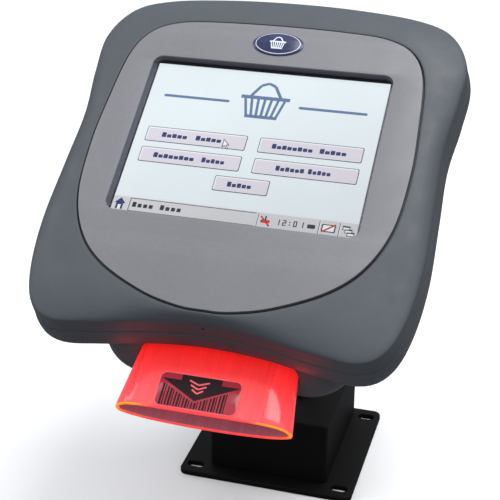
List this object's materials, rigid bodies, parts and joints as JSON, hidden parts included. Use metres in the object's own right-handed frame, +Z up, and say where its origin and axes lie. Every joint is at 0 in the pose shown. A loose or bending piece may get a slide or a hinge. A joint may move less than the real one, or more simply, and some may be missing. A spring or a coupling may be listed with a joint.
{
  "type": "self checkout kiosk",
  "caption": "Small dark grey self checkout kiosk with a pale oval front panel, tilted touch screen, red translucent scan hood and a black screw-down counter stand.",
  "frame": {"origin": "centre of the base plate's underside, resting on the counter", "axes": "+Z up; -Y towards the customer; +X to the customer's right"},
  "size_m": [0.1856, 0.1773, 0.2413],
  "materials": {
    "shell_grey": "fine spark texture",
    "insert_grey": "fine spark texture",
    "bezel_black": "satin",
    "touch_glass": "clear, hard coated",
    "lcd_white": "polariser, lit from behind",
    "steel_tray": "plain stamped",
    "board_green": "solder mask",
    "chip_black": "moulded",
    "powder_black": "fine powder coat",
    "zinc_screw": "zinc plated",
    "hood_red": "fluorescent translucent acrylic",
    "label_clear": "clear printed film",
    "window_clear": "clear red-tinted acrylic",
    "badge_blue": "domed resin",
    "nylon_white": "natural nylon",
    "rubber_black": "moulded",
    "knob_black": "moulded",
    "lens_dark": "coated",
    "ribbon_buff": "polyimide film"
  },
  "bodies": {
    "stand": {"base_plate": "powder_black", "pedestal_box": "powder_black", "cable_grommet": "rubber_black", "neck_bracket": "powder_black", "neck_screw_1": "zinc_screw", "neck_screw_2": "zinc_screw", "neck_screw_3": "zinc_screw", "neck_screw_4": "zinc_screw", "tilt_pin": "zinc_screw", "friction_washer_left": "nylon_white", "friction_washer_right": "nylon_white"},
    "head": {"front_shell": "shell_grey", "microphone": "bezel_black", "front_insert": "insert_grey", "badge": "badge_blue", "screen_bezel": "bezel_black", "touch_panel": "touch_glass", "lcd_panel": "lcd_white", "lcd_tray": "steel_tray", "backlight_board": "board_green", "main_board": "board_green", "processor_shield": "steel_tray", "memory_module": "chip_black", "lcd_ribbon": "ribbon_buff", "ethernet_jack": "steel_tray", "serial_jack": "steel_tray", "usb_jack": "steel_tray", "power_jack": "chip_black", "rear_shell": "shell_grey", "housing_screw_1": "zinc_screw", "housing_screw_2": "zinc_screw", "housing_screw_3": "zinc_screw", "housing_screw_4": "zinc_screw", "reset_switch": "chip_black", "scan_hood": "hood_red", "hood_label": "label_clear", "scan_window": "window_clear", "scan_engine": "chip_black", "scan_lens": "lens_dark", "led_board": "board_green", "scan_board": "board_green", "speaker": "bezel_black", "tilt_mount": "powder_black", "mount_screw_1": "zinc_screw", "mount_screw_2": "zinc_screw", "mount_screw_3": "zinc_screw", "mount_screw_4": "zinc_screw"},
    "knob": {"tilt_knob": "knob_black"},
    "reset": {"reset_button": "knob_black"}
  },
  "joints": [
    {"name": "head_tilt", "type": "hinge", "parent": "stand", "child": "head", "pos_m": [-0.0065, -0.0172, 0.14044], "axis": [1, 0, 0], "range_deg": [-20, 30]},
    {"name": "knob_turn", "type": "hinge", "parent": "stand", "child": "knob", "pos_m": [-0.0065, -0.0172, 0.14044], "axis": [1, 0, 0], "range_deg": [0, 180]},
    {"name": "reset_press", "type": "slide", "parent": "head", "child": "reset", "axis": [0, -0.5592, 0.829], "range_m": [0, 0.0012], "stiffness_N_per_m": 400}
  ]
}
